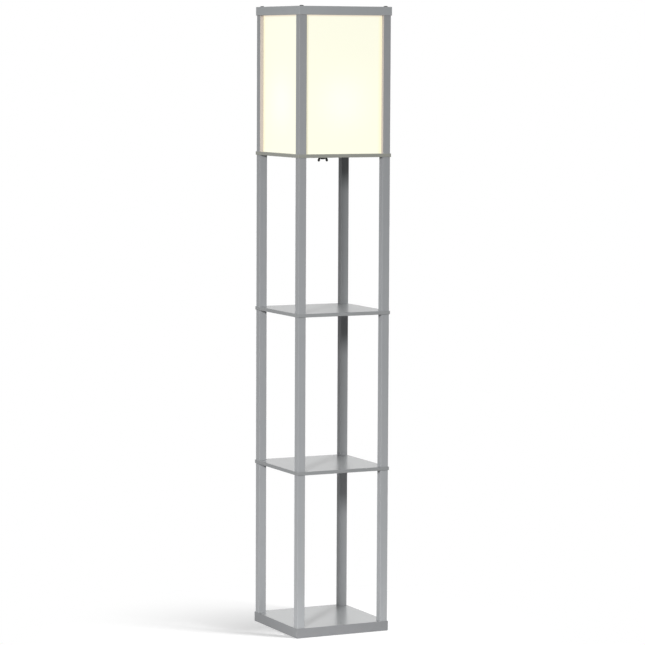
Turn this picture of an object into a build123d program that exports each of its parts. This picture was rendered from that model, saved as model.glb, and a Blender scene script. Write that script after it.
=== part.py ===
from build123d import *
import os

# Shelf floor lamp: a square base board, three tiers of four posts with two shelves and a lamp plate
# between them, and on top a light box of four grooved posts, four flat shade panels and a square
# frame. A lampholder stands in the middle of the lamp plate, clamped from below by a wing nut.
# Millimetres. +Z is up, +X runs along the front, +Y to the back. The origin is on the floor, under
# the middle of the base board.

# boards
board_side = 260.0
base_thickness = 25.0
shelf_thickness = 9.0
board_round = 0.8

# posts
post_side = 20.5
post_inset = 2.0
post_round = 0.8
tier_height = 392.5
lamp_height = 348.5

# square frame on top of the light box
frame_height = 22.0
rail_round = 0.8

# shade panels and the grooves that hold them
panel_thickness = 1.2
groove_depth = 4.0
rail_groove_depth = 3.0
panel_play = 0.2

# threaded joints between the posts
thread_radius = 3.0
thread_gap = 0.05
clearance_hole_radius = 3.3
insert_radius = 4.5
insert_length = 13.0
insert_gap = 0.05
stud_engagement = 12.0
stud_chamfer = 0.6
drill_beyond_insert = 4.0

# round-headed bolts with a hexagon socket
bolt_head_radius = 5.25
bolt_head_height = 2.2
bolt_head_flat_radius = 2.6
bolt_socket_across = 4.0
bolt_socket_depth = 1.4
counterbore_radius = 7.5
counterbore_depth = 8.0

# dowels in the butt joints of the top frame
dowel_radius = 2.5
dowel_length = 20.0
dowel_gap = 0.05
dowel_wall = 1.5
dowel_edge = 6.0

# hollow threaded tube that carries the lampholder, and the cord's way out
tube_radius = 5.0
tube_bore_radius = 4.0
tube_hole_play = 0.25
tube_reach_below = 1.0
washer_radius = 9.0
washer_thickness = 1.0

# wing nut under the lamp plate
nut_gap = 0.05
nut_hub_radius = 7.0
nut_hub_height = 7.0
wing_half_span = 15.2
wing_drop = 13.6
wing_thickness = 5.0
wing_root_radius = 2.5
wing_tip_radius = 3.3
wing_elbow_drop = 4.4
wing_splay = 2.4
wing_round = 0.6

# lampholder, in three moulded pieces with metal contacts
holder_radius = 20.0
holder_foot_radius = 17.0
holder_wall = 2.4
holder_boss_height = 8.0
holder_cap_height = 30.0
holder_shell_height = 34.0
holder_edge = 1.2
holder_lip = 2.5
core_thickness = 12.0
core_seat = 4.0
core_gap = 0.2
sleeve_wall = 0.5
sleeve_length = 22.0
sleeve_gap = 0.3
contact_radius = 4.0
contact_height = 1.9
terminal_spacing = 18.0
terminal_screw_radius = 1.5
terminal_head_radius = 3.0
terminal_head_height = 2.2
terminal_depth = 6.0

# bulb with a screw cap, a flared housing and a round diffuser
bulb_length = 118.0
globe_radius = 30.0
globe_drop = 12.0
globe_wall = 1.2
cap_crest_radius = 13.1
cap_thread_pitch = 3.63
cap_thread_depth = 0.9
cap_thread_turns = 5
cap_wall = 0.6
cap_collar_height = 2.4
tip_gap = 0.1
tip_radius = 4.6
tip_height = 2.0
insulator_height = 3.2
housing_wall = 1.6
led_board_thickness = 1.6
led_count = 8
led_side = 3.0
led_thickness = 0.8
led_ring_radius = 13.0

corners = {
    "front_left": (-1, -1),
    "front_right": (1, -1),
    "back_left": (-1, 1),
    "back_right": (1, 1),
}
sides = {"front": -90, "right": 0, "back": 90, "left": 180}
tiers = ("lower", "middle", "upper")

# places worked out from the sizes above
half_side = board_side / 2
post_centre = half_side - post_inset - post_side / 2
post_inner_face = post_centre - post_side / 2
rail_width = half_side - post_inner_face
tier_floors = [base_thickness + i * (tier_height + shelf_thickness) for i in range(len(tiers))]
plate_bottoms = [floor + tier_height for floor in tier_floors]
lamp_plate_bottom = plate_bottoms[-1]
lamp_floor = lamp_plate_bottom + shelf_thickness
frame_bottom = lamp_floor + lamp_height
frame_top = frame_bottom + frame_height
groove_width = panel_thickness + 2 * panel_play
panel_width = 2 * (post_inner_face + groove_depth - panel_play)
panel_height = lamp_height + rail_groove_depth - panel_play
insert_hole_radius = insert_radius + insert_gap
dowel_in_long_rail = post_side / 2 - clearance_hole_radius - dowel_wall
nut_top = lamp_plate_bottom - washer_thickness - nut_gap
nut_bottom = nut_top - nut_hub_height
tube_bottom = nut_bottom - tube_reach_below
tube_top = lamp_floor + holder_boss_height
core_bottom = lamp_floor + holder_cap_height - core_seat
core_top = core_bottom + core_thickness
core_radius = holder_radius - holder_wall - core_gap
sleeve_radius = cap_crest_radius + sleeve_gap
shell_bottom = lamp_floor + holder_cap_height
shell_top = shell_bottom + holder_shell_height
tip_bottom = core_top + contact_height + tip_gap
cap_bottom = tip_bottom + tip_height + insulator_height
cap_top = cap_bottom + cap_thread_turns * cap_thread_pitch + cap_collar_height
globe_centre = tip_bottom + bulb_length - globe_radius
housing_top = globe_centre - globe_drop
housing_top_radius = (globe_radius**2 - globe_drop**2) ** 0.5


def at(x, y, z):
    return Pos(x, y, z)


def rod(radius, height, x=0.0, y=0.0, z=0.0):
    # upright cylinder standing on z
    standing = (Align.CENTER, Align.CENTER, Align.MIN)
    return at(x, y, z) * Cylinder(radius, height, align=standing)


def block(size_x, size_y, size_z, x=0.0, y=0.0, z=0.0):
    # box standing on z, centred on x and y
    standing = (Align.CENTER, Align.CENTER, Align.MIN)
    return at(x, y, z) * Box(size_x, size_y, size_z, align=standing)


def turned(points):
    # solid of revolution about the upright axis from a closed outline of (radius, height) points
    outline = Polyline(*[(radius, 0, height) for radius, height in points], close=True)
    return revolve(make_face(outline), axis=Axis.Z)


def post_places():
    return [(sx * post_centre, sy * post_centre) for sx, sy in corners.values()]


def drill_corners(solid, radius, depth, z):
    # the same upright hole at the four post centres
    for x, y in post_places():
        solid -= rod(radius, depth, x, y, z)
    return solid


def board(thickness, z):
    # square board with its arrises broken, drilled for the joints at the four corners
    solid = block(board_side, board_side, thickness, z=z)
    solid = fillet(solid.edges(), board_round)
    return drill_corners(solid, clearance_hole_radius, thickness, z)


def base_board():
    # thick board on the floor, counterbored from below so that the bolt heads stay clear of it
    return drill_corners(board(base_thickness, 0), counterbore_radius, counterbore_depth, 0)


def lamp_plate():
    # the top board also has the hole for the lampholder's tube
    hole = rod(tube_radius + tube_hole_play, shelf_thickness, z=lamp_plate_bottom)
    return board(shelf_thickness, lamp_plate_bottom) - hole


def post(height, sx, sy, z):
    # square post with eased long edges and a drilled hole in each end for a threaded insert
    x = sx * post_centre
    y = sy * post_centre
    hole_depth = insert_length + drill_beyond_insert
    solid = block(post_side, post_side, height, x, y, z)
    solid = fillet(solid.edges().filter_by(Axis.Z), post_round)
    solid -= rod(insert_hole_radius, hole_depth, x, y, z)
    return solid - rod(insert_hole_radius, hole_depth, x, y, z + height - hole_depth)


def panel_slot(angle, z, height):
    # room that one shade panel and its play take up, for cutting grooves
    length = panel_width + 2 * panel_play
    return Rot(0, 0, angle) * block(groove_width, length, height, post_centre, 0, z)


def lamp_post(sx, sy):
    # light box post with a full-length groove in each of its two inner faces
    solid = post(lamp_height, sx, sy, lamp_floor)
    for angle in sides.values():
        solid -= panel_slot(angle, lamp_floor, lamp_height)
    return solid


def dowel_heights():
    return (rail_groove_depth + dowel_edge - dowel_gap, frame_height - dowel_edge)


def frame_dowel(sx, sy, height, gap):
    # dowel lying along Y through the butt joint at one corner; gap widens it into its hole
    length = dowel_length + 2 * gap
    middle = post_inner_face + dowel_in_long_rail - dowel_length / 2
    place = at(sx * (half_side - rail_width / 2), sy * middle, frame_bottom + height)
    return place * Rot(90, 0, 0) * Cylinder(dowel_radius + gap, length)


def all_dowels(gap):
    heights = dowel_heights()
    return [frame_dowel(sx, sy, h, gap) for sx, sy in corners.values() for h in heights]


def cut_frame(rail):
    # grooves for the panels' top edges and holes for the dowels and the four bolts
    for angle in sides.values():
        rail -= panel_slot(angle, frame_bottom, rail_groove_depth)
    for dowel in all_dowels(dowel_gap):
        rail -= dowel
    return drill_corners(rail, clearance_hole_radius, frame_height, frame_bottom)


def long_rail(side):
    # front or back rail, running over the posts from corner to corner
    y = side * (half_side - rail_width / 2)
    rail = block(board_side, rail_width, frame_height, 0, y, frame_bottom)
    return cut_frame(fillet(rail.edges(), rail_round))


def short_rail(side):
    # left or right rail, butted between the long ones
    x = side * (half_side - rail_width / 2)
    rail = block(rail_width, board_side - 2 * rail_width, frame_height, x, 0, frame_bottom)
    return cut_frame(fillet(rail.edges().filter_by(Axis.Y), rail_round))


def shade_panel(angle):
    # flat frosted sheet that stands on the lamp plate, held on three edges by the grooves
    sheet = block(panel_thickness, panel_width, panel_height, post_centre, 0, lamp_floor)
    return Rot(0, 0, angle) * sheet


def inserts(floor, height):
    # threaded bushes, flush with both ends of the four posts of one tier
    bushes = []
    for x, y in post_places():
        for z in (floor, floor + height - insert_length):
            bush = rod(insert_radius, insert_length, x, y, z)
            bushes.append(bush - rod(thread_radius + thread_gap, insert_length, x, y, z))
    return Compound(bushes)


def joint_studs(plate_bottom):
    # headless studs through the corners of a board, half in the posts below and half above
    length = shelf_thickness + 2 * stud_engagement
    studs = []
    for x, y in post_places():
        stud = rod(thread_radius, length, x, y, plate_bottom - stud_engagement)
        studs.append(chamfer(stud.edges().filter_by(GeomType.CIRCLE), stud_chamfer))
    return Compound(studs)


def round_bolt(shank_length):
    # domed head standing on z = 0 with a hexagon socket, shank hanging below
    dome_start = (bolt_head_radius, 0, bolt_head_height * 0.25)
    dome_middle = (bolt_head_radius * 0.82, 0, bolt_head_height * 0.76)
    dome_end = (bolt_head_flat_radius, 0, bolt_head_height)
    dome = ThreePointArc(dome_start, dome_middle, dome_end)
    rest = Polyline(dome_end, (0, 0, bolt_head_height), (0, 0, 0), (bolt_head_radius, 0, 0), dome_start)
    head = revolve(make_face([dome, rest]), axis=Axis.Z)
    socket_circle = bolt_socket_across / 3**0.5
    socket = extrude(RegularPolygon(socket_circle, 6), bolt_socket_depth)
    head -= at(0, 0, bolt_head_height - bolt_socket_depth) * socket
    return head + rod(thread_radius, shank_length, z=-shank_length)


def frame_bolts():
    # four bolts down through the corners of the top frame into the lamp posts
    bolt = round_bolt(frame_height + stud_engagement)
    return Compound([at(x, y, frame_top) * bolt for x, y in post_places()])


def base_bolts():
    # four bolts up through the base board into the lower posts, heads in their counterbores
    bolt = Rot(180, 0, 0) * round_bolt(base_thickness - counterbore_depth + stud_engagement)
    return Compound([at(x, y, counterbore_depth) * bolt for x, y in post_places()])


def threaded_tube():
    height = tube_top - tube_bottom
    return rod(tube_radius, height, z=tube_bottom) - rod(tube_bore_radius, height, z=tube_bottom)


def washer():
    z = lamp_plate_bottom - washer_thickness
    hole = rod(tube_radius + tube_hole_play, washer_thickness, z=z)
    return rod(washer_radius, washer_thickness, z=z) - hole


def wing_arm(start, start_radius, end, end_radius):
    # flat bar whose outline is wrapped round a circle at each end
    circles = Sketch() + Pos(*start) * Circle(start_radius) + Pos(*end) * Circle(end_radius)
    outline = Plane.XZ * make_hull(circles.edges())
    return extrude(outline, wing_thickness / 2, both=True)


def wing():
    # one wing: out from the hub just under the plate, then down to a rounded tip
    root = (nut_hub_radius - wing_root_radius, -wing_root_radius)
    tip = (wing_half_span - wing_tip_radius, wing_tip_radius - wing_drop)
    elbow = (tip[0] - wing_splay, -wing_elbow_drop)
    arm = wing_arm(root, wing_root_radius, elbow, wing_root_radius)
    arm += wing_arm(elbow, wing_root_radius, tip, wing_tip_radius)
    return fillet(arm.faces().filter_by(Axis.Y).edges(), wing_round)


def wing_nut():
    # threaded hub with two wings that sweep downwards, running on the tube
    solid = rod(nut_hub_radius, nut_hub_height, z=-nut_hub_height)
    for angle in (0, 180):
        solid += Rot(0, 0, angle) * wing()
    bore = rod(tube_radius + nut_gap, wing_drop, z=-wing_drop)
    return at(0, 0, nut_top) * (solid - bore)


def holder_cap():
    # lower cup of the lampholder: threaded boss on the plate, flared wall, ledge for the core
    ledge = core_radius - core_seat / 2
    shoulder = holder_cap_height * 0.55
    points = [
        (tube_radius + thread_gap, 0),
        (holder_foot_radius - holder_edge, 0),
        (holder_foot_radius, holder_edge),
        (holder_radius, shoulder),
        (holder_radius, holder_cap_height),
        (holder_radius - holder_wall, holder_cap_height),
        (holder_radius - holder_wall, holder_cap_height - core_seat),
        (ledge, holder_cap_height - core_seat),
        (ledge, shoulder),
        (holder_foot_radius - holder_wall, holder_boss_height),
        (tube_radius + thread_gap, holder_boss_height),
    ]
    return at(0, 0, lamp_floor) * turned(points)


def holder_shell():
    # upper cup: a plain wall that closes in at the top to a lip round the metal sleeve
    top = holder_shell_height
    inner = holder_radius - holder_wall
    lip = sleeve_radius + sleeve_wall + sleeve_gap
    points = [
        (inner, 0),
        (holder_radius, 0),
        (holder_radius, top - 2 * holder_edge),
        (holder_radius - holder_edge, top),
        (lip, top),
        (lip, top - holder_lip),
        (inner, top - 2 * holder_lip),
    ]
    return at(0, 0, shell_bottom) * turned(points)


def terminal_places():
    return [(-terminal_spacing / 2, 0), (terminal_spacing / 2, 0)]


def holder_core():
    # insulating disc between the two cups, drilled for the terminal screws
    disc = rod(core_radius, core_thickness, z=core_bottom)
    for x, y in terminal_places():
        disc -= rod(terminal_screw_radius + thread_gap, terminal_depth, x, y, core_bottom)
    return disc


def terminal_screws():
    screws = []
    for x, y in terminal_places():
        head = rod(terminal_head_radius, terminal_head_height, x, y, core_bottom - terminal_head_height)
        screws.append(head + rod(terminal_screw_radius, terminal_depth, x, y, core_bottom))
    return Compound(screws)


def holder_sleeve():
    outer = rod(sleeve_radius + sleeve_wall, sleeve_length, z=core_top)
    return outer - rod(sleeve_radius, sleeve_length, z=core_top)


def holder_contact():
    return rod(contact_radius, contact_height, z=core_top)


def bulb_tip():
    tip = rod(tip_radius, tip_height, z=tip_bottom)
    return chamfer(tip.edges().sort_by(Axis.Z)[0], tip_height * 0.4)


def bulb_insulator():
    # cone between the tip contact and the screw cap
    top = tip_height + insulator_height
    points = [
        (0, tip_height),
        (tip_radius + 1, tip_height),
        (cap_crest_radius - 2 * cap_thread_depth, top),
        (0, top),
    ]
    return at(0, 0, tip_bottom) * turned(points)


def bulb_cap():
    # thin metal shell with a rounded thread, drawn as rings: half circles out, then in
    middle = cap_crest_radius - cap_thread_depth / 2
    half_pitch = cap_thread_pitch / 2
    curve = []
    for i in range(2 * cap_thread_turns):
        bulge = cap_thread_depth / 2 if i % 2 == 0 else -cap_thread_depth / 2
        start = (middle, 0, i * half_pitch)
        crest = (middle + bulge, 0, (i + 0.5) * half_pitch)
        curve.append(ThreePointArc(start, crest, (middle, 0, (i + 1) * half_pitch)))
    inner = cap_crest_radius - cap_thread_depth - cap_wall
    top = cap_top - cap_bottom
    foot = Polyline((middle, 0, 0), (inner, 0, 0), (inner, 0, top), (middle, 0, top), curve[-1] @ 1)
    shell = revolve(make_face(curve + [foot]), axis=Axis.Z)
    return at(0, 0, cap_bottom) * shell


def flare(start_radius, end_radius, start, end):
    # smooth flare from upright at the bottom to the slope of the round diffuser at the top
    slope_out = globe_drop / globe_radius
    slope_up = housing_top_radius / globe_radius
    reach = 0.36 * (end - start)
    low = (start_radius, 0, start + reach)
    high = (end_radius - slope_out * reach, 0, end - slope_up * reach)
    return Bezier((start_radius, 0, start), low, high, (end_radius, 0, end))


def bulb_housing():
    # hollow white flare between the screw cap and the diffuser, with a seat for the light board
    seat = housing_top - led_board_thickness
    start = cap_top
    outer_start = cap_crest_radius + cap_wall
    inner_start = outer_start - housing_wall
    inner_top = housing_top_radius - 2 * housing_wall
    outer = flare(outer_start, housing_top_radius, start, housing_top)
    inner = flare(inner_start, inner_top, start, seat)
    rim = housing_top_radius - housing_wall
    over = Polyline(outer @ 1, (rim, 0, housing_top), (rim, 0, seat), inner @ 1)
    under = Line(inner @ 0, outer @ 0)
    return revolve(make_face([outer, over, inner, under]), axis=Axis.Z)


def bulb_board():
    board_radius = housing_top_radius - housing_wall - thread_gap
    return rod(board_radius, led_board_thickness, z=housing_top - led_board_thickness)


def bulb_lights():
    # ring of small square light sources on the board
    chip = block(led_side, led_side, led_thickness, led_ring_radius, 0, housing_top)
    return Compound([Rot(0, 0, i * 360 / led_count) * chip for i in range(led_count)])


def bulb_diffuser():
    # hollow ball cut off by the housing's rim
    ball = Sphere(globe_radius) - Sphere(globe_radius - globe_wall)
    below = block(3 * globe_radius, 3 * globe_radius, globe_radius, z=-globe_radius - globe_drop)
    return at(0, 0, globe_centre) * (ball - below)


def make_parts():
    parts = {
        "base_board": base_board(),
        "shelf_lower": board(shelf_thickness, plate_bottoms[0]),
        "shelf_upper": board(shelf_thickness, plate_bottoms[1]),
        "lamp_plate": lamp_plate(),
        "base_bolts": base_bolts(),
        "frame_bolts": frame_bolts(),
        "frame_dowels": Compound(all_dowels(0)),
        "inserts_lamp": inserts(lamp_floor, lamp_height),
        "threaded_tube": threaded_tube(),
        "washer": washer(),
        "wing_nut": wing_nut(),
        "holder_cap": holder_cap(),
        "holder_shell": holder_shell(),
        "holder_core": holder_core(),
        "holder_sleeve": holder_sleeve(),
        "holder_contact": holder_contact(),
        "terminal_screws": terminal_screws(),
        "bulb_tip": bulb_tip(),
        "bulb_insulator": bulb_insulator(),
        "bulb_cap": bulb_cap(),
        "bulb_housing": bulb_housing(),
        "bulb_board": bulb_board(),
        "bulb_lights": bulb_lights(),
        "bulb_diffuser": bulb_diffuser(),
    }
    for tier, floor, plate_bottom in zip(tiers, tier_floors, plate_bottoms):
        parts[f"inserts_{tier}"] = inserts(floor, tier_height)
        parts[f"joint_studs_{tier}"] = joint_studs(plate_bottom)
        for corner, (sx, sy) in corners.items():
            parts[f"post_{tier}_{corner}"] = post(tier_height, sx, sy, floor)
    for corner, (sx, sy) in corners.items():
        parts[f"post_lamp_{corner}"] = lamp_post(sx, sy)
    for side, sign in (("front", -1), ("back", 1)):
        parts[f"frame_rail_{side}"] = long_rail(sign)
    for side, sign in (("left", -1), ("right", 1)):
        parts[f"frame_rail_{side}"] = short_rail(sign)
    for side, angle in sides.items():
        parts[f"shade_panel_{side}"] = shade_panel(angle)
    return parts


os.makedirs("parts", exist_ok=True)
for name, shape in make_parts().items():
    export_step(shape, f"parts/{name}.step")
    print(name)
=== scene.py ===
import math

import bpy
import numpy as np
from mathutils import Matrix, Vector


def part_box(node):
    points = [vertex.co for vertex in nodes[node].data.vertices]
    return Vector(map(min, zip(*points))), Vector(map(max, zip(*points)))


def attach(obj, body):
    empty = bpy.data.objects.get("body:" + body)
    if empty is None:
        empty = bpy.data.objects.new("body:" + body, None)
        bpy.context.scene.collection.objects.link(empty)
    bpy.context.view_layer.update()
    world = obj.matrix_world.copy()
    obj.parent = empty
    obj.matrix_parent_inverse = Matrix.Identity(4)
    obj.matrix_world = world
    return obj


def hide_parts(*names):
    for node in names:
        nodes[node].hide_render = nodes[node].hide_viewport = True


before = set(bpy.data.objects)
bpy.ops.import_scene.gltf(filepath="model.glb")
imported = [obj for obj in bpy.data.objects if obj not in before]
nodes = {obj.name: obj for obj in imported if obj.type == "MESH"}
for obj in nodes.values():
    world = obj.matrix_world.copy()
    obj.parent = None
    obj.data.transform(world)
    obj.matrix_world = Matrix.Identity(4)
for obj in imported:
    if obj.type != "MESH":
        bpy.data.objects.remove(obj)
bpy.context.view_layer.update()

mm = 0.001    # every length here is in metres
print("frame loaded:", len(nodes), "solids")


def linearFromHex(code):
    # hex colour as seen on screen to the linear values a shader wants, by the sRGB curve
    parts = [int(code[i:i + 2], 16) / 255 for i in (1, 3, 5)]
    return [p / 12.92 if p <= 0.04045 else ((p + 0.055) / 1.055) ** 2.4 for p in parts] + [1.0]


def addNode(tree, kind, settings=None, inputs=None):
    # one node, its settings, and its inputs: a socket is linked, anything else is a value
    made = tree.nodes.new(kind)
    for key, value in (settings or {}).items():
        setattr(made, key, value)
    for key, value in (inputs or {}).items():
        if isinstance(value, bpy.types.NodeSocket):
            tree.links.new(value, made.inputs[key])
        else:
            made.inputs[key].default_value = value
    return made


def newMaterial(name):
    # an empty material and its node tree
    material = bpy.data.materials.new(name)
    material.use_nodes = True
    material.node_tree.nodes.clear()
    return material, material.node_tree


def dress(nodeNames, material):
    # gives parts of the frame their finish
    for nodeName in nodeNames:
        for materialSlot in nodes[nodeName].material_slots:
            materialSlot.material = material


def distances(tree, place):
    # |x|, |y| and |z|: how far a point lies from the middle, the same on all four sides of the lamp
    absolute = addNode(tree, "ShaderNodeVectorMath", {"operation": "ABSOLUTE"}, {0: place})
    return addNode(tree, "ShaderNodeSeparateXYZ", inputs={0: absolute.outputs[0]}).outputs


# grey satin lacquer on wood and fibreboard
lacquer = {
    # the rails carry the posts' paint: their lighter grey is painted light
    "postColour": "#a1a3a5", "railLightenedColour": "#adb0b2",
    "shadeShift": 0.05,        # how far the paint's tone wanders
    "cloudSize": 60 * mm,      # soft clouds where the spray lay thicker
    "cloudDetail": 2.0,
    "grainWidth": 1.6 * mm,    # wood grain telegraphing through the paint
    "grainLength": 60 * mm,
    "grainDetail": 3.0, "grainRoughness": 0.6,
    "grainShare": 0.35,        # how much of the tone is grain, the clouds make up the rest
    "peelSize": 1.4 * mm,      # orange peel of sprayed lacquer
    "peelDetail": 1.0,
    "relief": 0.09, "reliefDepth": 0.2 * mm,
    "postRoughness": 0.5, "boardRoughness": 0.36, "coatRoughness": 0.24,
    "ior": 1.5,                # typical of a clear lacquer
    "sheen": 0.22,             # specular level of the satin paint, under the usual 0.5 of a gloss
    "edgeRoll": 0.8 * mm,      # the flat's gloss ends this far inside the board's outline
    "paintedGlowColour": "#bfb5b0",   # painted light: the warm glow that the lit sheets throw on the faces turned to them
    "paintedGlowDepth": 0.5 * mm,     # how deep behind such a face the painted glow reaches
}
# one paint on all four boards: their face and edge greys differ board by board as painted light and shade, the
# base's face lighter and edge darker, the edges lighter towards the top and warmest on the lamp plate under
# the glowing sheets
boards = {
    "base_board": {"colour": "#999b9c", "edge": "#868789", "coat": 0.93},
    "shelf_lower": {"colour": "#929495", "edge": "#919394", "coat": 0.78},
    "shelf_upper": {"colour": "#929495", "edge": "#989a9b", "coat": 0.6},
    "lamp_plate": {"colour": "#929495", "edge": "#9d9e97", "coat": 0.9},
}
rails = {"front": 0, "back": 0, "left": 1, "right": 1}    # the axis of each one's grain: 0 is x, 1 is y
# metres that a pattern is moved by from one piece to the next, so that no two show the same clouds
patternSteps = {
    "tier": (0.31, 0.0, 0.53), "corner": (0.07, 0.17, 0.29),
    "railStart": (0.0, 0.0, 0.7), "rail": (0.2, 0.3, 0.0),
    "boardStart": (0.0, 0.0, 0.1), "board": (0.4, 0.6, 0.0),
}


def patternPlace(**counts):
    # sum of each step times its count
    return [sum(count * patternSteps[step][axis] for step, count in counts.items()) for axis in range(3)]


def lacqueredWood(name, colour, roughness, grainAxis, shift, board=None, outline=0.0, litFace=None):
    # sprayed satin lacquer on beech or fibreboard: an even grey with faint clouds, a hint of grain below
    # and a light orange peel, which softens every reflection. A board's flats have a clear top coat that
    # throws back grazing light, and the cut edges round it, at the outline, have only the grey, set board
    # by board as painted light and shade. Where a post or rail turns a face to a lit sheet, the grey is
    # mixed towards a painted warm glow that stands in for the sheet's light: litFace says which way that
    # face lies and how far from the middle or the floor
    material, tree = newMaterial(name)
    place = addNode(tree, "ShaderNodeTexCoord").outputs["Object"]
    moved = addNode(tree, "ShaderNodeMapping", inputs={"Vector": place, "Location": shift}).outputs[0]
    stretch = [1.0, 1.0, 1.0]
    stretch[grainAxis] = lacquer["grainWidth"] / lacquer["grainLength"]
    along = addNode(tree, "ShaderNodeMapping", inputs={"Vector": moved, "Scale": stretch}).outputs[0]
    grain = addNode(tree, "ShaderNodeTexNoise", inputs={
        "Vector": along, "Scale": 1 / lacquer["grainWidth"], "Detail": lacquer["grainDetail"],
        "Roughness": lacquer["grainRoughness"]})
    clouds = addNode(tree, "ShaderNodeTexNoise", inputs={
        "Vector": moved, "Scale": 1 / lacquer["cloudSize"], "Detail": lacquer["cloudDetail"]})
    grainTone = addNode(tree, "ShaderNodeMath", {"operation": "MULTIPLY"}, {
        0: grain.outputs["Fac"], 1: lacquer["grainShare"]})
    tone = addNode(tree, "ShaderNodeMath", {"operation": "MULTIPLY_ADD"}, {
        0: clouds.outputs["Fac"], 1: 1 - lacquer["grainShare"], 2: grainTone.outputs[0]})
    middle = linearFromHex(colour)[:3]
    dark, light = [[v * (1 + way * lacquer["shadeShift"]) for v in middle] + [1.0] for way in (-1, 1)]
    paint = addNode(tree, "ShaderNodeMix", {"data_type": "RGBA"}, {
        "Factor": tone.outputs[0], 6: dark, 7: light}).outputs[2]
    peel = addNode(tree, "ShaderNodeTexNoise", inputs={
        "Vector": moved, "Scale": 1 / lacquer["peelSize"], "Detail": lacquer["peelDetail"]})
    relief = addNode(tree, "ShaderNodeMath", {"operation": "ADD"}, {
        0: peel.outputs["Fac"], 1: grain.outputs["Fac"]})
    bump = addNode(tree, "ShaderNodeBump", inputs={
        "Height": relief.outputs[0], "Strength": lacquer["relief"], "Distance": lacquer["reliefDepth"]})
    finish = {"Base Color": paint, "Roughness": roughness, "IOR": lacquer["ior"],
              "Specular IOR Level": lacquer["sheen"], "Normal": bump.outputs[0]}
    if litFace:
        # painted light from the sheets: a post's two lit faces lie where |x| or |y| is least, a rail's where
        # it is lowest
        direction, start = litFace
        away = distances(tree, place)
        across = addNode(tree, "ShaderNodeMath", {"operation": "MINIMUM"}, {0: away["X"], 1: away["Y"]})
        paintedGlowShare = addNode(tree, "ShaderNodeMapRange", inputs={
            "Value": across.outputs[0] if direction == "across" else away["Z"],
            "From Min": start + lacquer["paintedGlowDepth"] / 2, "From Max": start + lacquer["paintedGlowDepth"],
            "To Min": 1.0, "To Max": 0.0})
        finish["Base Color"] = addNode(tree, "ShaderNodeMix", {"data_type": "RGBA"}, {
            "Factor": paintedGlowShare.outputs[0], 6: paint, 7: linearFromHex(lacquer["paintedGlowColour"])}).outputs[2]
    if board:
        # distance from the middle, the larger of |x| and |y|, tells a flat from the cut edge round it
        away = distances(tree, place)
        outwards = addNode(tree, "ShaderNodeMath", {"operation": "MAXIMUM"}, {0: away["X"], 1: away["Y"]})
        onEdge = addNode(tree, "ShaderNodeMapRange", inputs={
            "Value": outwards.outputs[0], "From Min": outline - lacquer["edgeRoll"],
            "From Max": outline - lacquer["edgeRoll"] / 2})
        coat = addNode(tree, "ShaderNodeMapRange", inputs={
            "Value": onEdge.outputs[0], "To Min": board["coat"], "To Max": 0.0})
        # the cut edge's grey, set board by board as painted light and shade
        finish["Base Color"] = addNode(tree, "ShaderNodeMix", {"data_type": "RGBA"}, {
            "Factor": onEdge.outputs[0], 6: paint, 7: linearFromHex(board["edge"])}).outputs[2]
        finish["Roughness"] = addNode(tree, "ShaderNodeMapRange", inputs={
            "Value": onEdge.outputs[0], "To Min": roughness, "To Max": lacquer["postRoughness"]}).outputs[0]
        finish.update({"Coat Weight": coat.outputs[0], "Coat Roughness": lacquer["coatRoughness"],
                       "Coat Normal": bump.outputs[0]})
    shader = addNode(tree, "ShaderNodeBsdfPrincipled", inputs=finish)
    addNode(tree, "ShaderNodeOutputMaterial", inputs={"Surface": shader.outputs[0]})
    return material


# the lit sheets show above the lamp plate, below the top frame and between the posts' inner faces
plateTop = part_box("lamp_plate")[1][2]
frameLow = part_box("frame_rail_front")[0][2]
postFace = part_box("post_lamp_front_right")[0][0]
# posts: in the lamp tier, the faces beside the sheets take a painted warm glow
for i, tier in enumerate(("lower", "middle", "upper", "lamp")):
    for j, corner in enumerate(("front_left", "front_right", "back_left", "back_right")):
        paint = lacqueredWood(
            f"grey lacquer on {tier} {corner} post", lacquer["postColour"], lacquer["postRoughness"],
            grainAxis=2, shift=patternPlace(tier=i, corner=j),
            litFace=("across", postFace) if tier == "lamp" else None)
        dress([f"post_{tier}_{corner}"], paint)
# rails: a lightened grey and a painted warm glow on their undersides, both painted light
for i, (side, grainAxis) in enumerate(rails.items()):
    paint = lacqueredWood(
        f"grey lacquer on {side} rail", lacquer["railLightenedColour"], lacquer["postRoughness"],
        grainAxis=grainAxis, shift=patternPlace(railStart=1, rail=i), litFace=("upwards", frameLow))
    dress([f"frame_rail_{side}"], paint)
for i, (boardName, board) in enumerate(boards.items()):
    paint = lacqueredWood(
        f"grey lacquer on {boardName}", board["colour"], lacquer["boardRoughness"],
        grainAxis=0, shift=patternPlace(boardStart=1, board=i), board=board, outline=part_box(boardName)[1][0])
    dress([boardName], paint)
print("wood painted")


# flat shade panels: the bulb's light through them is painted into the sheets as a glow
shade = {
    "sheetColour": "#8f8d7b", "roughness": 0.55,
    "glowColour": "#ffffed",
    "glow": 0.77,              # brightness of the evenly lit part
    "spot": 0.11,              # painted light: extra in the middle of the hot spot
    "spotSize": 66 * mm,
    "bulbHeight": 130 * mm,    # light centre above the lamp plate
    "rimPaintedShade": 0.97,         # painted shade: the rim turns a little darker and warmer beside the wood
    # painted light: warmer colours at the sides beside the posts and at the top under the frame
    "sideRim": 13 * mm, "sideColour": "#fff8d0",
    "topRim": 6 * mm, "topColour": "#fff1da",
    "cloudSize": 7 * mm, "cloudDetail": 4.0,
    "mottle": 0.015,           # how much more or less light the sheet's clouds let through
}
panelPlane = (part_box("shade_panel_right")[0][0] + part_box("shade_panel_right")[1][0]) / 2


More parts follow.
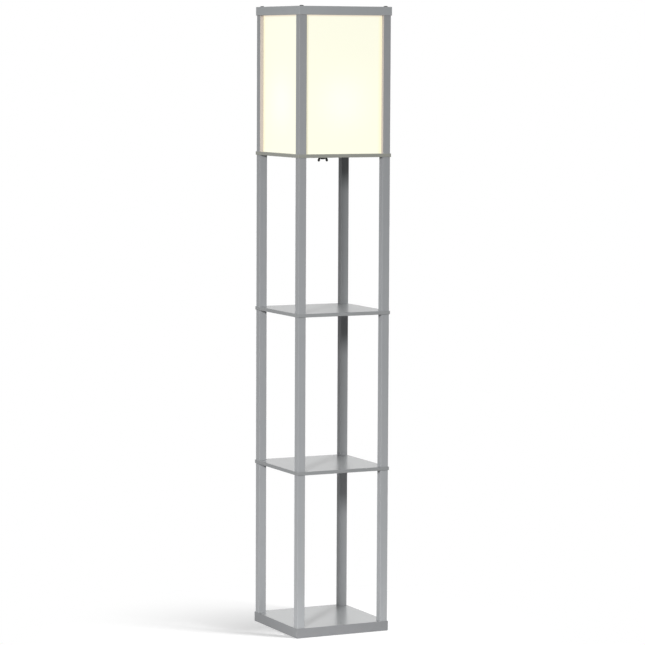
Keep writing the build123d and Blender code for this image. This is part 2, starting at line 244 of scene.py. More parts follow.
def glowingSheet():
    # frosted extruded sheet with the bulb's light painted in: a soft light, faintly cloudy and brighter before
    # the bulb. Glow = even level + painted hot spot that falls off as a bell with the distance from the bulb
    # in the sheet's plane, less at the rim as painted shade, warmer there as painted light, and times the
    # clouds
    material, tree = newMaterial("frosted polystyrene shade sheet")
    place = addNode(tree, "ShaderNodeTexCoord").outputs["Object"]
    centre = (0, 0, plateTop + shade["bulbHeight"])
    reach = addNode(tree, "ShaderNodeVectorMath", {"operation": "DISTANCE"}, {0: place, 1: centre})
    square = addNode(tree, "ShaderNodeMath", {"operation": "POWER"}, {0: reach.outputs["Value"], 1: 2.0})
    inPlane = addNode(tree, "ShaderNodeMath", {"operation": "SUBTRACT"}, {
        0: square.outputs[0], 1: panelPlane ** 2})
    scaled = addNode(tree, "ShaderNodeMath", {"operation": "DIVIDE"}, {
        0: inPlane.outputs[0], 1: -shade["spotSize"] ** 2})
    bell = addNode(tree, "ShaderNodeMath", {"operation": "EXPONENT"}, {0: scaled.outputs[0]})
    level = addNode(tree, "ShaderNodeMath", {"operation": "MULTIPLY_ADD"}, {
        0: bell.outputs[0], 1: shade["spot"], 2: shade["glow"]})
    away = distances(tree, place)
    across = addNode(tree, "ShaderNodeMath", {"operation": "MINIMUM"}, {0: away["X"], 1: away["Y"]})
    glowColour = linearFromHex(shade["glowColour"])
    rims = []
    # painted shade and light at the rims: the glow warms and dims towards the posts and the frame
    for rimName, socket, start in (("side", across.outputs[0], postFace), ("top", away["Z"], frameLow)):
        rims.append(addNode(tree, "ShaderNodeMapRange", {"interpolation_type": "SMOOTHSTEP"}, {
            "Value": socket, "From Min": start - shade[rimName + "Rim"], "From Max": start}).outputs[0])
        glowColour = addNode(tree, "ShaderNodeMix", {"data_type": "RGBA"}, {
            "Factor": rims[-1], 6: glowColour, 7: linearFromHex(shade[rimName + "Colour"])}).outputs[2]
    nearRim = addNode(tree, "ShaderNodeMath", {"operation": "MAXIMUM"}, {0: rims[0], 1: rims[1]})
    rim = addNode(tree, "ShaderNodeMapRange", inputs={
        "Value": nearRim.outputs[0], "To Min": 1.0, "To Max": shade["rimPaintedShade"]})
    clouds = addNode(tree, "ShaderNodeTexNoise", inputs={
        "Vector": place, "Scale": 1 / shade["cloudSize"], "Detail": shade["cloudDetail"]})
    mottle = addNode(tree, "ShaderNodeMapRange", inputs={
        "Value": clouds.outputs["Fac"], "To Min": 1 - shade["mottle"], "To Max": 1 + shade["mottle"]})
    strength = level
    for share in (rim, mottle):
        strength = addNode(tree, "ShaderNodeMath", {"operation": "MULTIPLY"}, {
            0: strength.outputs[0], 1: share.outputs[0]})
    shader = addNode(tree, "ShaderNodeBsdfPrincipled", inputs={
        "Base Color": linearFromHex(shade["sheetColour"]), "Roughness": shade["roughness"],
        "Emission Color": glowColour, "Emission Strength": strength.outputs[0]})
    addNode(tree, "ShaderNodeOutputMaterial", inputs={"Surface": shader.outputs[0]})
    return material


dress([f"shade_panel_{side}" for side in ("front", "right", "back", "left")], glowingSheet())
print("shade panels lit")


# metals and plastics of the small parts
zincParts = ["base_bolts", "threaded_tube", "washer", "bulb_tip", "joint_studs_lower", "joint_studs_middle",
             "joint_studs_upper", "inserts_lower", "inserts_middle", "inserts_upper", "inserts_lamp"]
smallParts = {
    # oil-black heads: a dark grey sheen with a soft edge to each highlight
    "black oxide steel bolt": {
        "parts": ["frame_bolts"],
        "colour": "#3a3b3d", "metallic": 1.0, "roughness": 0.38, "grit": 0.5 * mm, "depth": 0.02 * mm},
    # thin plating: cool bright metal with a slight haze
    "bright zinc plated steel": {
        "parts": zincParts,
        "colour": "#c3c6c8", "metallic": 1.0, "roughness": 0.3, "grit": 0.6 * mm, "depth": 0.01 * mm},
    # spark-textured mould: near black, with a broad dull highlight
    "black moulded nylon": {
        "parts": ["wing_nut"],
        "colour": "#1d1e20", "metallic": 0.0, "roughness": 0.45, "grit": 0.4 * mm, "depth": 0.02 * mm},
    # hard polished mould: a warmer black with crisp highlights that waver a little
    "black phenolic moulding": {
        "parts": ["holder_cap", "holder_shell", "holder_core", "bulb_insulator"],
        "colour": "#1c1a1a", "metallic": 0.0, "roughness": 0.22, "grit": 1.5 * mm, "depth": 0.01 * mm},
    # pressed strip: yellow metal with faint rolling haze
    "stamped brass": {
        "parts": ["holder_sleeve", "holder_contact", "terminal_screws"],
        "colour": "#d8b56a", "metallic": 1.0, "roughness": 0.3, "grit": 0.8 * mm, "depth": 0.01 * mm},
    # unpainted turned wood: pale, dry and open-pored
    "bare beech dowel": {
        "parts": ["frame_dowels"],
        "colour": "#cfae83", "metallic": 0.0, "roughness": 0.6, "grit": 0.8 * mm, "depth": 0.05 * mm},
    # rolled thin sheet: warm mirror-like bands along the thread
    "nickel plated rolled cap": {
        "parts": ["bulb_cap"],
        "colour": "#d2d0cc", "metallic": 1.0, "roughness": 0.24, "grit": 0.8 * mm, "depth": 0.01 * mm},
    # satin mould: plain white with a soft highlight
    "white moulded housing": {
        "parts": ["bulb_housing"],
        "colour": "#e4e3df", "metallic": 0.0, "roughness": 0.4, "grit": 0.8 * mm, "depth": 0.01 * mm},
    # solder mask: flat white
    "white coated board": {
        "parts": ["bulb_board"],
        "colour": "#dededb", "metallic": 0.0, "roughness": 0.5, "grit": 0.8 * mm, "depth": 0.01 * mm},
    # dried phosphor paste: a grainy yellow that shines evenly
    "phosphor light chip": {
        "parts": ["bulb_lights"], "glow": 0.5,
        "colour": "#c9a750", "metallic": 0.0, "roughness": 0.4, "grit": 0.3 * mm, "depth": 0.01 * mm},
}
gritLook = {"detail": 3.0, "relief": 0.25, "wear": 0.15}    # wear is how much roughness goes up and down


def plainPart(name, facts):
    # one finish: its colour, and a grit of its own size and depth that breaks up the highlights, drawn
    # coarser than the real one where that is too fine to show. A part that gives light does so evenly
    material, tree = newMaterial(name)
    place = addNode(tree, "ShaderNodeTexCoord").outputs["Object"]
    noise = addNode(tree, "ShaderNodeTexNoise", inputs={
        "Vector": place, "Scale": 1 / facts["grit"], "Detail": gritLook["detail"]})
    bump = addNode(tree, "ShaderNodeBump", inputs={
        "Height": noise.outputs["Fac"], "Strength": gritLook["relief"], "Distance": facts["depth"]})
    worn = addNode(tree, "ShaderNodeMapRange", inputs={
        "Value": noise.outputs["Fac"], "To Min": facts["roughness"] * (1 - gritLook["wear"]),
        "To Max": facts["roughness"] * (1 + gritLook["wear"])})
    finish = {"Base Color": linearFromHex(facts["colour"]), "Metallic": facts["metallic"],
              "Roughness": worn.outputs[0], "Normal": bump.outputs[0]}
    if "glow" in facts:
        finish.update({"Emission Color": linearFromHex(facts["colour"]), "Emission Strength": facts["glow"]})
    shader = addNode(tree, "ShaderNodeBsdfPrincipled", inputs=finish)
    addNode(tree, "ShaderNodeOutputMaterial", inputs={"Surface": shader.outputs[0]})
    return material


finishes = {}
for finishName, facts in smallParts.items():
    finishes[finishName] = plainPart(finishName, facts)
    dress(facts["parts"], finishes[finishName])

opal = {
    "colour": "#dcd8ce", "crownColour": "#fff3dc", "skirtColour": "#ffdca6",
    "crown": 0.62, "skirt": 0.3,       # brightness straight over the chips and down at the housing, the fall between partly painted shade
    "roughness": 0.4,
}


def opalPlastic(name, low, high):
    # white plastic lit from inside: brightest and palest over the light chips, dimmer and warmer towards
    # the foot, partly the chips' own spread and partly painted shade that keeps the ball's roundness as it
    # glows
    material, tree = newMaterial(name)
    place = addNode(tree, "ShaderNodeTexCoord").outputs["Object"]
    height = addNode(tree, "ShaderNodeSeparateXYZ", inputs={0: place}).outputs["Z"]
    share = addNode(tree, "ShaderNodeMapRange", {"interpolation_type": "SMOOTHSTEP"}, {
        "Value": height, "From Min": low, "From Max": high}).outputs[0]
    glowColour = addNode(tree, "ShaderNodeMix", {"data_type": "RGBA"}, {
        "Factor": share, 6: linearFromHex(opal["skirtColour"]), 7: linearFromHex(opal["crownColour"])})
    strength = addNode(tree, "ShaderNodeMapRange", inputs={
        "Value": share, "To Min": opal["skirt"], "To Max": opal["crown"]})
    shader = addNode(tree, "ShaderNodeBsdfPrincipled", inputs={
        "Base Color": linearFromHex(opal["colour"]), "Roughness": opal["roughness"],
        "Emission Color": glowColour.outputs[2], "Emission Strength": strength.outputs[0]})
    addNode(tree, "ShaderNodeOutputMaterial", inputs={"Surface": shader.outputs[0]})
    return material


finishes["opal bulb diffuser"] = opalPlastic(
    "opal bulb diffuser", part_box("bulb_diffuser")[0][2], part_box("bulb_diffuser")[1][2])
dress(["bulb_diffuser"], finishes["opal bulb diffuser"])
print("small parts finished")


# shapes worked out on grids
def gridFaces(rows, columns, closeRows):
    # quads between neighbouring rows and columns; columns always join up, rows only when asked
    row = np.arange(rows if closeRows else rows - 1)[:, None]
    column = np.arange(columns)[None, :]
    nextRow = (row + 1) % rows
    nextColumn = (column + 1) % columns
    quads = [row * columns + column, row * columns + nextColumn,
             nextRow * columns + nextColumn, nextRow * columns + column]
    return list(np.stack(quads, axis=-1).reshape(-1, 4))


def withPoles(points, faces, columns, poles):
    # two more points, each joined by a fan of triangles to the first or to the last ring of the grid
    here = np.arange(columns)
    there = (here + 1) % columns
    first, last = len(points), len(points) - columns
    faces += list(np.stack([there, here, np.full(columns, first)], axis=-1))
    faces += list(np.stack([last + here, last + there, np.full(columns, first + 1)], axis=-1))
    return np.concatenate([points, poles]), faces


def revolve(profile, steps, swell=None):
    # point = (r cos a, r sin a, z): a profile of (r, z) carried round the upright axis;
    # swell(r, z, a) gives a changed radius, for ribs and threads. The profile runs up the outside
    # and down the inside, and closes on itself, or starts and ends on the axis
    onAxis = profile[0, 0] == 0
    ring = profile[1:-1] if onAxis else profile
    angle = np.arange(steps) * 2 * np.pi / steps
    radius = np.repeat(ring[:, :1], steps, axis=1)
    height = np.repeat(ring[:, 1:], steps, axis=1)
    turn = np.repeat(angle[None, :], len(ring), axis=0)
    if swell:
        radius = swell(radius, height, turn)
    points = np.stack([radius * np.cos(turn), radius * np.sin(turn), height], axis=-1).reshape(-1, 3)
    faces = gridFaces(len(ring), steps, not onAxis)
    if onAxis:
        return withPoles(points, faces, steps, [[0, 0, profile[0, 1]], [0, 0, profile[-1, 1]]])
    return points, faces


def between(start, end, count):
    # start (1 - s) + end s: count evenly spaced points of a straight run, its end left to the next run
    share = np.arange(count)[:, None] / count
    return np.array(start) * (1 - share) + np.array(end) * share


def arc(centre, radius, startAngle, endAngle, count):
    # centre + radius (cos a, sin a): count points of a circular run, degrees from +r towards +z, its end
    # left to the next run
    angle = np.radians(np.linspace(startAngle, endAngle, count, endpoint=False))
    return np.stack([centre[0] + radius * np.cos(angle), centre[1] + radius * np.sin(angle)], axis=-1)


def bezier(guide, share):
    # the four guide points weighed by (1 - s)^3, 3 s (1 - s)^2, 3 s^2 (1 - s) and s^3
    weights = np.stack([(1 - share) ** 3, 3 * share * (1 - share) ** 2,
                        3 * share ** 2 * (1 - share), share ** 3])
    return weights.T @ np.array(guide)


def smooth(value, start, end):
    # s^2 (3 - 2 s): 0 before start, 1 after end, an S-shaped rise between
    share = np.clip((value - start) / (end - start), 0, 1)
    return share * share * (3 - 2 * share)


def bell(value, middle, width):
    # e^-(d / width)^2: 1 in the middle, falling off on both sides with the distance d
    return np.exp(-((value - middle) / width) ** 2)


def wave(height, turn, pitch):
    # half of 1 - cos: 0 on the crest and 1 in the root of a thread that climbs one pitch for each turn
    return 0.5 - 0.5 * np.cos(2 * np.pi * (height / pitch - turn / (2 * np.pi)))


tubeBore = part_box("threaded_tube")[1][0] + 0.05 * mm    # radius of the hole in what is screwed on the tube
skin = 0.1 * mm    # a point this near to the full radius is on the outside


# lampholder: two black moulded cups
holder = {
    "footRadius": 17 * mm, "wall": 2.4 * mm,
    "boss": 8 * mm, "seat": 4 * mm, "ledge": 2.2 * mm,         # solid foot, and the step the core rests on
    "edge": 1.2 * mm,          # rounding of the foot, a third of it at the rims and twice it at the top
    "flareShare": 0.55,        # the lower cup is at full width from this share of its height
    "grooveRise": 3 * mm, "grooveDepth": 0.6 * mm, "grooveWidth": 0.9 * mm,    # ring pressed in above that
    "ribs": 36, "ribDepth": 0.5 * mm, "ribFade": 2.5 * mm,     # grip ribs round the upper cup
    "lipGap": 0.3 * mm, "lipDepth": 2.5 * mm,                  # the upper cup's lip round the metal sleeve
    "lowerSteps": 144, "upperSteps": 288,
}


def lowerCup():
    # foot with a round edge, wall that flares to full width, ledge and boss inside
    low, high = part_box("holder_cap")
    base, top, full = low[2], high[2], high[0]
    foot, edge, wall = holder["footRadius"], holder["edge"], holder["wall"]
    rim = edge / 3
    shoulder = base + holder["flareShare"] * (top - base)
    inner = full - wall
    ledge = inner - holder["ledge"]
    seat = top - holder["seat"]
    boss = base + holder["boss"]
    profile = np.concatenate([
        between((tubeBore, base), (foot - edge, base), 6),
        arc((foot - edge, base + edge), edge, -90, 0, 8),
        between((foot, base + edge), (full, shoulder), 24),
        between((full, shoulder), (full, top - rim), 60),
        arc((full - rim, top - rim), rim, 0, 90, 5),
        between((full - rim, top), (inner, top), 3),
        between((inner, top), (inner, seat), 4),
        between((inner, seat), (ledge, seat), 2),
        between((ledge, seat), (ledge, shoulder), 5),
        between((ledge, shoulder), (foot - wall, boss), 5),
        between((foot - wall, boss), (tubeBore, boss), 4),
        between((tubeBore, boss), (tubeBore, base), 4)])

    def ringed(radius, height, turn):
        # the outside less the groove's depth times a bell round the groove's height
        near = bell(height, shoulder + holder["grooveRise"], holder["grooveWidth"])
        return radius - np.where(radius > full - skin, holder["grooveDepth"] * near, 0)

    return revolve(profile, holder["lowerSteps"], ringed)


def upperCup():
    # straight wall with grip ribs, closing at the top to a lip round the metal sleeve
    low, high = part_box("holder_shell")
    base, top, full = low[2], high[2], high[0]
    edge, taper = holder["edge"], holder["ribFade"]
    rim, roll, turnIn = edge / 3, 2 * edge, edge / 4
    inner, under = full - holder["wall"], top - 2 * holder["wall"]
    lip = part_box("holder_sleeve")[1][0] + holder["lipGap"]
    lipLow = top - holder["lipDepth"]
    profile = np.concatenate([
        between((inner, base), (full - rim, base), 3),
        arc((full - rim, base + rim), rim, -90, 0, 5),
        between((full, base + rim), (full, top - roll), 50),
        arc((full - roll, top - roll), roll, 0, 90, 12),
        between((full - roll, top), (lip + turnIn, top), 4),
        arc((lip + turnIn, top - turnIn), turnIn, 90, 180, 4),
        between((lip, top - turnIn), (lip, lipLow), 3),
        between((lip, lipLow), (inner, under), 4),
        between((inner, under), (inner, base), 8)])

    def ribbed(radius, height, turn):
        # valleys as (half of 1 - cos)^2 round the wall, fading out below and above
        rising = smooth(height, base + taper, base + 2 * taper)
        falling = smooth(height, top - 3 * taper, top - 2 * taper)
        valley = 0.5 - 0.5 * np.cos(holder["ribs"] * turn)
        depth = holder["ribDepth"] * rising * (1 - falling) * valley ** 2
        return radius - np.where(radius > full - skin, depth, 0)

    return revolve(profile, holder["upperSteps"], ribbed)


# hollow threaded tube that carries the lampholder
tube = {
    "threadPitch": 1.0 * mm, "threadDepth": 0.5 * mm, "wall": 1.0 * mm, "chamfer": 0.6 * mm,
    "rowsPerTurn": 8, "steps": 48,
}


def threadedTube():
    # straight tube whose outside follows the thread's wave, cut down to the root at both ends
    low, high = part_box("threaded_tube")
    base, top, crest = low[2], high[2], high[0]
    bore = crest - tube["wall"]
    rows = int(round((top - base) / tube["threadPitch"] * tube["rowsPerTurn"]))
    profile = np.concatenate([
        between((bore, base), (crest, base), 2), between((crest, base), (crest, top), rows),
        between((crest, top), (bore, top), 2), between((bore, top), (bore, base), 6)])

    def threaded(radius, height, turn):
        # the larger of the wave and the chamfer, times the thread's depth, comes off the outside
        ends = np.maximum(smooth(-height, -base - tube["chamfer"], -base),
                          smooth(height, top - tube["chamfer"], top))
        cut = np.maximum(wave(height - base, turn, tube["threadPitch"]), ends)
        return np.where(radius > bore + skin, radius - tube["threadDepth"] * cut, radius)

    return revolve(profile, tube["steps"], threaded)


# wing nut: hub and two drooping wings
nut = {
    "hubRadius": 7 * mm, "hubHeight": 7 * mm, "hubEdge": 0.6 * mm, "hubSteps": 64,
    "wingRows": 48, "wingSteps": 28,
    # half width and half depth of the wing where it leaves the hub, at its waist and at its tip
    "rootHalf": (2.5 * mm, 2.7 * mm), "waistHalf": (2.5 * mm, 2.3 * mm), "tipHalf": (3.2 * mm, 2.3 * mm),
    "waistEnd": 0.35, "swellStart": 0.4, "swellEnd": 0.85,     # shares of the way from hub to tip
    "rootDepth": 0.8,          # the wing starts inside the hub, at this share of its radius
    "elbowDrop": 4.6 * mm, "splay": 3.4 * mm,
    "armDrop": 0.7,            # the arm leaves the hub at this share of the elbow's drop
    "tipInset": 0.1 * mm,
    "squareness": 2.6,         # 2 is an ellipse, more is nearer to a box
}


def wingSurface(side, top, span, bottom):
    # section carried along a curve: out from the hub, round the elbow and down to the tip. Each section is
    # a superellipse, |x/a|^n + |y/b|^n = 1, whose halves a and b narrow at the waist and swell at the tip
    share = np.linspace(0, 1, nut["wingRows"])
    tipHalf = nut["tipHalf"][0]
    arm, out = top - nut["armDrop"] * nut["elbowDrop"], span - tipHalf
    path = bezier([(nut["hubRadius"] * nut["rootDepth"], arm), (out - nut["splay"], arm),
                   (out - nut["splay"] / 3, top - nut["elbowDrop"]), (out - nut["tipInset"], bottom)], share)
    along = np.gradient(path, axis=0)
    along /= np.linalg.norm(along, axis=1, keepdims=True)
    across = np.stack([along[:, 1], -along[:, 0]], axis=-1)
    length = np.concatenate([[0], np.cumsum(np.linalg.norm(np.diff(path, axis=0), axis=1))])
    left = length[-1] - length
    # the last stretch closes like the end of an egg, and never quite to nothing
    ending = np.sqrt(np.clip(1 - np.clip(1 - left / tipHalf, 0, 1) ** 2, 1e-5, 1))
    halves = []
    for root, waist, tip in zip(nut["rootHalf"], nut["waistHalf"], nut["tipHalf"]):
        half = root + (waist - root) * smooth(share, 0.0, nut["waistEnd"])
        half = half + (tip - waist) * smooth(share, nut["swellStart"], nut["swellEnd"])
        halves.append(half * ending)
    angle = np.arange(nut["wingSteps"]) * 2 * np.pi / nut["wingSteps"]
    flat, deep = [np.sign(v) * np.abs(v) ** (2 / nut["squareness"]) for v in (np.cos(angle), np.sin(angle))]
    offset = halves[0][:, None] * flat
    points = np.stack([path[:, :1] + offset * across[:, :1], halves[1][:, None] * deep,
                       path[:, 1:] + offset * across[:, 1:]], axis=-1)
    if side < 0:
        points[..., :2] *= -1    # half a turn about the upright axis
    poles = [points[0].mean(axis=0), points[-1].mean(axis=0)]
    faces = gridFaces(nut["wingRows"], nut["wingSteps"], False)
    return withPoles(points.reshape(-1, 3), faces, nut["wingSteps"], poles)


def wingNut():
    # hub with rounded edges carried round the axis, and a wing on either side that runs into it
    low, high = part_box("wing_nut")
    top, bottom, span = high[2], low[2], high[0]
    hub, edge = nut["hubRadius"], nut["hubEdge"]
    hubLow = top - nut["hubHeight"]
    profile = np.concatenate([
        between((tubeBore, hubLow), (hub - 2 * edge, hubLow), 3),
        arc((hub - 2 * edge, hubLow + edge), edge, -90, 0, 6),
        between((hub - edge, hubLow + edge), (hub, top - edge), 8),
        arc((hub - edge / 2, top - edge / 2), edge / 2, 0, 90, 5),
        between((hub - edge / 2, top), (tubeBore, top), 3),
        between((tubeBore, top), (tubeBore, hubLow), 6)])
    allPoints, allFaces = revolve(profile, nut["hubSteps"])
    for side in (1, -1):
        points, faces = wingSurface(side, top, span, bottom)
        allFaces += [face + len(allPoints) for face in faces]
        allPoints = np.concatenate([allPoints, points])
    return allPoints, allFaces


# bulb: rolled screw cap, flared housing, round diffuser and a blob of solder
bulb = {
    "pitch": 3.63 * mm, "threadDepth": 0.9 * mm, "capWall": 0.6 * mm,
    "collar": 2.4 * mm, "collarFade": 1.5 * mm,                # plain ring above the thread
    "footFade": 1.2 * mm, "footDraw": 1.0 * mm,                # the cap draws in at its foot
    "globeDrop": 12 * mm, "globeWall": 1.2 * mm,
    "housingWall": 1.6 * mm, "flareReach": 0.36,               # how straight the housing leaves its ends
    "seamDrop": 3.2 * mm, "seamWidth": 0.35 * mm,              # ring where the diffuser's skirt is pressed in
    "crimpRise": 2 * mm, "crimpWidth": 0.5 * mm,               # ring where the cap is crimped on
    "ringDepth": 0.3 * mm,
    "tipFlat": 0.35, "tipRound": 0.8,                          # shares of the solder tip's radius and height
    "steps": 160, "capRows": 140, "capSteps": 96, "tipSteps": 48,
}


def screwCap():
    # sheet of even thickness rolled into a thread that fades out at the foot and below the collar
    low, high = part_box("bulb_cap")
    base, top, crest = low[2], high[2], high[0]
    inner, collarLow = crest - bulb["capWall"], top - bulb["collar"]
    profile = np.concatenate([
        between((crest, base), (crest, top), bulb["capRows"]),
        between((inner, top), (inner, base), bulb["capRows"])])

    def rolled(radius, height, turn):
        # the larger of the thread's wave, where there is one, and the foot's draw, times the depth
        rising = smooth(height, base, base + bulb["footFade"])
        falling = smooth(height, collarLow - bulb["collarFade"], collarLow)
        foot = 1 - smooth(height, base, base + bulb["footDraw"])
        groove = wave(height - base, turn, bulb["pitch"]) * rising * (1 - falling)
        return radius - bulb["threadDepth"] * np.maximum(groove, foot)

    return revolve(profile, bulb["capSteps"], rolled)


def flare(start, end, startRadius, endRadius, slope, count):
    # Bezier curve that leaves straight up and arrives at the slope of the round diffuser
    reach = bulb["flareReach"] * (end - start)
    return bezier([(startRadius, start), (startRadius, start + reach),
                   (endRadius - slope[0] * reach, end - slope[1] * reach), (endRadius, end)],
                  np.arange(count) / count)


def housing():
    # thin shell: the flare up the outside, a seat for the light board, and a second flare down the inside
    low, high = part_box("bulb_housing")
    start, end, full = low[2], high[2], high[0]
    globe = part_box("bulb_diffuser")[1][0]
    slope = (bulb["globeDrop"] / globe, full / globe)
    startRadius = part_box("bulb_cap")[1][0] + bulb["capWall"]
    wall, seat = bulb["housingWall"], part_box("bulb_board")[0][2]
    inner, ledge = full - wall, full - 2 * wall
    outside = flare(start, end, startRadius, full, slope, 80)
    inside = flare(start, seat, startRadius - wall, ledge, slope, 30)
    profile = np.concatenate([
        outside, between((full, end), (inner, end), 3), between((inner, end), (inner, seat), 3),
        between((inner, seat), (ledge, seat), 2), inside[::-1]])

    def grooved(radius, height, turn):
        # the outside less the rings' depth times a bell round the seam and one round the crimp
        ring = bell(height, end - bulb["seamDrop"], bulb["seamWidth"])
        ring = ring + bell(height, start + bulb["crimpRise"], bulb["crimpWidth"])
        outer = np.interp(height, outside[:, 1], outside[:, 0])
        return radius - np.where(radius > outer - 2 * skin, bulb["ringDepth"] * ring, 0)

    return revolve(profile, bulb["steps"], grooved)


def diffuser():
    # ball with an even wall, cut off level with the housing's rim
    low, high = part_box("bulb_diffuser")
    globe, wall = high[0], bulb["globeWall"]
    centre = high[2] - globe
    outer, inner = [arc((0, centre), radius, math.degrees(math.asin((low[2] - centre) / radius)), 90, 60)
                    for radius in (globe, globe - wall)]
    profile = np.concatenate([[(0, high[2] - wall)], inner[::-1], outer, [(0, high[2])]])
    return revolve(profile, bulb["steps"])


def solderTip():
    # flat-ended blob under the insulator: radius and height rise as a quarter turn's sine and 1 - cosine
    low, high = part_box("bulb_tip")
    base, top, full = low[2], high[2], high[0]
    flat = bulb["tipFlat"] * full
    turn = np.linspace(0, np.pi / 2, 16)
    curve = np.stack([flat + (full - flat) * np.sin(turn),
                      base + (top - base) * bulb["tipRound"] * (1 - np.cos(turn))], axis=-1)
    return revolve(np.concatenate([[(0, base)], curve, [(full, top), (0, top)]]), bulb["tipSteps"])


crease = math.radians(35)    # an edge that turns by more than this stays sharp


def newPiece(name, points, faces, material, body, replaced):
    # a smooth mesh from arrays that moves with a body and stands for one of the frame's parts
    mesh = bpy.data.meshes.new(name)
    mesh.from_pydata(points.tolist(), [], [face.tolist() for face in faces])
    mesh.polygons.foreach_set("use_smooth", np.ones(len(mesh.polygons), dtype=bool))
    mesh.set_sharp_from_angle(angle=crease)
    mesh.materials.append(material)
    piece = bpy.data.objects.new(name, mesh)
    bpy.context.collection.objects.link(piece)
    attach(piece, body)
    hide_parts(replaced)
    return piece


# name, shape, finish, the record's material slot, body, and the part of the frame it stands for
pieces = [
    ("lampholderLowerCup", lowerCup, "black phenolic moulding", "black_phenolic", "stand", "holder_cap"),
    ("lampholderUpperCup", upperCup, "black phenolic moulding", "black_phenolic", "stand", "holder_shell"),
    ("lampholderTube", threadedTube, "bright zinc plated steel", "zinc_steel", "stand", "threaded_tube"),
    ("wingNutUnderPlate", wingNut, "black moulded nylon", "black_nylon", "nut", "wing_nut"),
    ("bulbScrewCap", screwCap, "nickel plated rolled cap", "nickel_cap", "bulb", "bulb_cap"),
    ("bulbHousing", housing, "white moulded housing", "white_plastic", "bulb", "bulb_housing"),
    ("bulbDiffuser", diffuser, "opal bulb diffuser", "opal_plastic", "bulb", "bulb_diffuser"),
    ("bulbSolderTip", solderTip, "bright zinc plated steel", "zinc_steel", "bulb", "bulb_tip"),
]
for pieceName, shape, finishName, slotName, body, replaced in pieces:
    points, faces = shape()
    newPiece(pieceName, points, faces, finishes[finishName], body, replaced)
print("detailed pieces made:", len(pieces))


# floor, sky and lamps
stageLook = {
    "floorHalf": 3.0,
    "floorColour": "#e6e6e6",
    "floorLift": 0.37,         # the floor's own light, so that it shows white where nothing shades it
    "shadeFoot": (-0.13, -0.13, 0.0),          # the shadow is full here and gone at shadeFar
    "shadeNear": 0.0, "shadeFar": 0.72,
    "spill": 0.34,             # light that the floor in front of the lamp throws back up
    "spillFoot": (0.3, -0.5, 0.0), "spillNear": 0.4, "spillFar": 1.8,
    "white": 1.0,              # how bright the floor and the sky look
    # the sky's light on the lamp, near the horizon and high up
    "frontLeftLow": 0.05, "frontLeftHigh": 0.4, "frontRightLow": 0.03, "frontRightHigh": 0.15,
    "backLeftLow": 0.05, "backLeftHigh": 0.4, "backRightLow": 0.9, "backRightHigh": 0.3,
    "skyRise": (0.3, 0.5), "skySides": (-0.15, 0.15),          # where one level passes into the next
}
half = stageLook["floorHalf"]
floorMesh = bpy.data.meshes.new("studioFloor")
floorMesh.from_pydata([(-half, -half, 0), (half, -half, 0), (half, half, 0), (-half, half, 0)], [],
                      [(0, 1, 2, 3)])
floor = bpy.data.objects.new("studioFloor", floorMesh)
bpy.context.collection.objects.link(floor)


def seenDirectly(tree):
    # 1 for rays from the camera, off a shiny surface or through glass, 0 for the rest
    paths = addNode(tree, "ShaderNodeLightPath").outputs
    either = addNode(tree, "ShaderNodeMath", {"operation": "MAXIMUM"}, {
        0: paths["Is Camera Ray"], 1: paths["Is Glossy Ray"]})
    return addNode(tree, "ShaderNodeMath", {"operation": "MAXIMUM"}, {
        0: either.outputs[0], 1: paths["Is Transmission Ray"]}).outputs[0]


floorMaterial, floorTree = newMaterial("pale studio floor")
floorPlace = addNode(floorTree, "ShaderNodeTexCoord").outputs["Object"]
seen = seenDirectly(floorTree)


def fade(middle, start, end, first, last):
    # a level that changes smoothly with the distance from a point of the floor
    reach = addNode(floorTree, "ShaderNodeVectorMath", {"operation": "DISTANCE"}, {
        0: floorPlace, 1: middle}).outputs["Value"]
    return addNode(floorTree, "ShaderNodeMapRange", {"interpolation_type": "SMOOTHSTEP"}, {
        "Value": reach, "From Min": start, "From Max": end, "To Min": first, "To Max": last}).outputs[0]


def glowing(whenSeen, otherwise):
    # the floor's own light, at one strength to the eye and another to what it lights
    level = addNode(floorTree, "ShaderNodeMix", {"data_type": "FLOAT"}, {0: seen, 2: otherwise, 3: whenSeen})
    return addNode(floorTree, "ShaderNodeEmission", inputs={"Strength": level.outputs[0]}).outputs[0]


spill = fade(stageLook["spillFoot"], stageLook["spillNear"], stageLook["spillFar"], stageLook["spill"], 0.0)
matte = addNode(floorTree, "ShaderNodeBsdfDiffuse", inputs={"Color": linearFromHex(stageLook["floorColour"])})
near = addNode(floorTree, "ShaderNodeAddShader", inputs={
    0: glowing(stageLook["floorLift"], spill), 1: matte.outputs[0]})
# near the lamp the floor takes its shadow, further out it is plain white
floorShader = addNode(floorTree, "ShaderNodeMixShader", inputs={
    0: fade(stageLook["shadeFoot"], stageLook["shadeNear"], stageLook["shadeFar"], 0.0, 1.0),
    1: near.outputs[0], 2: glowing(stageLook["white"], spill)})
addNode(floorTree, "ShaderNodeOutputMaterial", inputs={"Surface": floorShader.outputs[0]})
floorMesh.materials.append(floorMaterial)

world = bpy.data.worlds.new("paleStudio")
bpy.context.scene.world = world
world.use_nodes = True
sky = world.node_tree
sky.nodes.clear()
direction = addNode(sky, "ShaderNodeTexCoord").outputs["Generated"]
split = addNode(sky, "ShaderNodeSeparateXYZ", inputs={0: direction})
skyLevels = [stageLook[f"{depth}{width}{height}"] for depth in ("front", "back")
             for width in ("Left", "Right") for height in ("Low", "High")]
for axis, (start, end) in (("Z", stageLook["skyRise"]), ("X", stageLook["skySides"]),
                           ("Y", stageLook["skySides"])):
    # neighbours pass softly into each other: low into high, then left into right, then front into back
    step = addNode(sky, "ShaderNodeMapRange", {"interpolation_type": "SMOOTHSTEP"}, {
        "Value": split.outputs[axis], "From Min": start, "From Max": end}).outputs[0]
    pairs = zip(skyLevels[::2], skyLevels[1::2])
    skyLevels = [addNode(sky, "ShaderNodeMix", {"data_type": "FLOAT"}, {
        0: step, 2: first, 3: second}).outputs[0] for first, second in pairs]
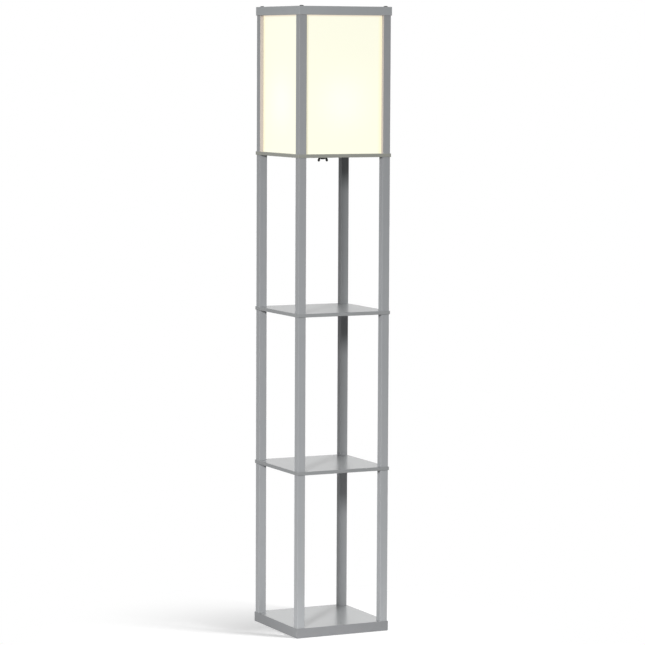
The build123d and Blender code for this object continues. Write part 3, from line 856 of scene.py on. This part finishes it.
skyLevel = addNode(sky, "ShaderNodeMix", {"data_type": "FLOAT"}, {
    0: seenDirectly(sky), 2: skyLevels[0], 3: stageLook["white"]})
backdrop = addNode(sky, "ShaderNodeBackground", inputs={
    "Color": (1.0, 1.0, 1.0, 1.0), "Strength": skyLevel.outputs[0]})
addNode(sky, "ShaderNodeOutputWorld", inputs={"Surface": backdrop.outputs[0]})

# azimuth in degrees from the front towards the right, distance along the floor and height in metres
lamps = {
    "keyBox": {"azimuth": -43, "distance": 5.3, "height": 2.37, "size": (0.6, 0.84), "aim": 0.1,
               "spread": 72, "power": 48, "mirrored": True, "floorLink": "EXCLUDE"},
    "backBox": {"azimuth": 140, "distance": 5.3, "height": 3.0, "size": (2.4, 1.6), "aim": 0.7,
                "spread": 72, "power": 30, "mirrored": False, "floorLink": "EXCLUDE"},
    "floorBox": {"azimuth": 40, "distance": 1.4, "height": 6.0, "size": (0.4, 3.2), "aim": 0.0,
                 "spread": 180, "power": 268, "mirrored": False, "floorLink": "INCLUDE"},
}
for lampName, facts in lamps.items():
    data = bpy.data.lights.new(lampName, "AREA")
    data.shape = "RECTANGLE"
    data.size, data.size_y = facts["size"]
    data.energy = facts["power"]
    data.spread = math.radians(facts["spread"])
    lamp = bpy.data.objects.new(lampName, data)
    turn = math.radians(facts["azimuth"])
    lamp.location = (facts["distance"] * math.sin(turn), -facts["distance"] * math.cos(turn), facts["height"])
    lamp.rotation_mode = "QUATERNION"
    lamp.rotation_quaternion = (Vector((0, 0, facts["aim"])) - lamp.location).to_track_quat("-Z", "Y")
    lamp.visible_camera = False
    lamp.visible_glossy = facts["mirrored"]
    # keyBox and backBox light all but the floor, and floorBox nothing but the floor
    lit = bpy.data.collections.new(lampName + "Link")
    lit.objects.link(floor)
    lit.collection_objects[0].light_linking.link_state = facts["floorLink"]
    lamp.light_linking.receiver_collection = lit
    bpy.context.collection.objects.link(lamp)
print("stage lit")


# camera at the photograph's place
eye = {
    "place": (-3.2374, -6.6890, 1.4767),
    "heading": 0.45091,        # radians from +Y towards +X
    "dip": 0.09193,            # radians below the horizon
    "roll": 0.00458,
    "focalPixels": 2896.6, "imagePixels": 645,
    "sensorWidth": 36.0,       # millimetres, like the lens
    "farthest": 100.0,
}
cameraData = bpy.data.cameras.new("photoCamera")
cameraData.sensor_width = eye["sensorWidth"]
cameraData.lens = eye["focalPixels"] / eye["imagePixels"] * eye["sensorWidth"]
cameraData.clip_end = eye["farthest"]
camera = bpy.data.objects.new("photoCamera", cameraData)
bpy.context.collection.objects.link(camera)
sinH, cosH = math.sin(eye["heading"]), math.cos(eye["heading"])
sinD, cosD = math.sin(eye["dip"]), math.cos(eye["dip"])
right = Vector((cosH, -sinH, 0))
forward = Vector((sinH * cosD, cosH * cosD, -sinD))
up = Vector((sinH * sinD, cosH * sinD, cosD))
rolledRight = right * math.cos(eye["roll"]) + up * math.sin(eye["roll"])
rolledUp = up * math.cos(eye["roll"]) - right * math.sin(eye["roll"])
turned = Matrix((rolledRight, rolledUp, -forward)).transposed().to_4x4()
camera.matrix_world = Matrix.Translation(eye["place"]) @ turned
bpy.context.scene.camera = camera
bpy.context.scene.view_settings.view_transform = "Standard"
print("camera placed")
